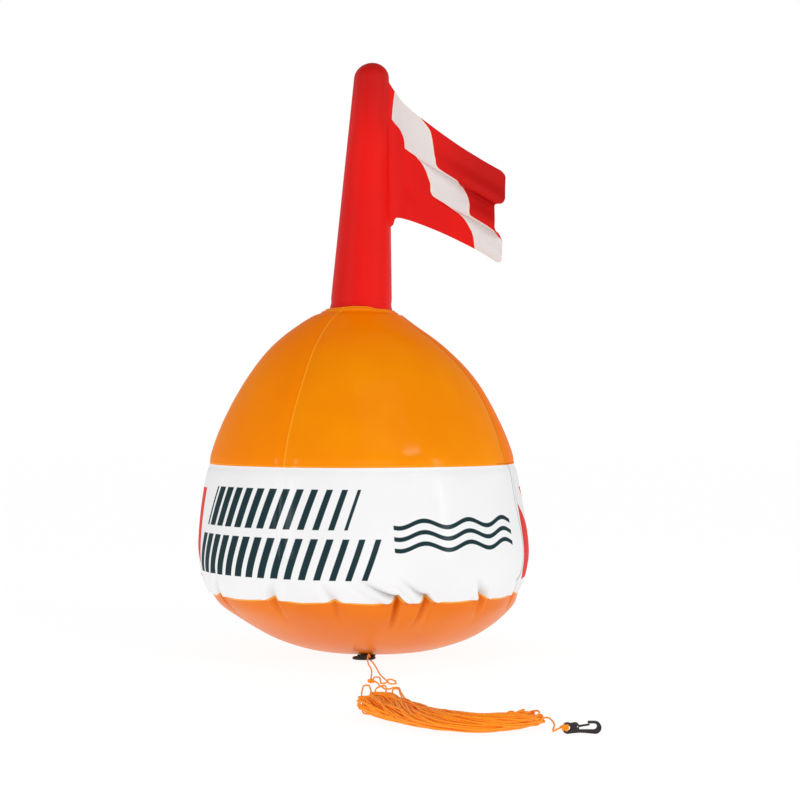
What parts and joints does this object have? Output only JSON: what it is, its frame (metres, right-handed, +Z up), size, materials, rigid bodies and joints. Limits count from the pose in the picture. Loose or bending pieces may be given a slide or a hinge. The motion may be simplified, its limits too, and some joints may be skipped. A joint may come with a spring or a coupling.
{
  "type": "dive buoy",
  "caption": "Inflatable egg-shaped surface marker float with a mast, a diver-down flag, and a line with a snap hook.",
  "frame": {"origin": "on the floor, under the middle of the float's box", "axes": "+Z up along the float; the front is -Y, and the flag flies to +X"},
  "size_m": [0.3869, 0.7459, 0.6457],
  "materials": {
    "orange_vinyl": "satin inflated sheet vinyl with a white printed band",
    "red_vinyl": "soft satin sheet vinyl with a white stripe on the flag",
    "patch_vinyl": "satin sheet vinyl",
    "valve_vinyl": "soft milky moulded vinyl",
    "webbing": "woven strap",
    "black_plastic": "moulded, slightly shiny",
    "line": "thin laid cord",
    "steel": "bright pin"
  },
  "bodies": {
    "buoy": {"float_body": "orange_vinyl", "mast_and_flag": "red_vinyl", "base_patch": "patch_vinyl", "inflation_valve": "valve_vinyl", "line_tab": "webbing", "line_ring": "black_plastic", "line_end": "line", "line_run": "line", "line_lead": "line", "line_knot": "line", "line_hank": "line", "line_tail": "line", "hook_knot": "line", "hook_body": "black_plastic", "hook_pin": "steel"},
    "gate": {"hook_gate": "black_plastic"}
  },
  "joints": [
    {"name": "gate_hinge", "type": "hinge", "parent": "buoy", "child": "gate", "pos_m": [0.1858, -0.551, 0.006], "axis": [0, 1, 0], "range_deg": [0, 17], "stiffness_Nm_per_rad": 0.002}
  ]
}
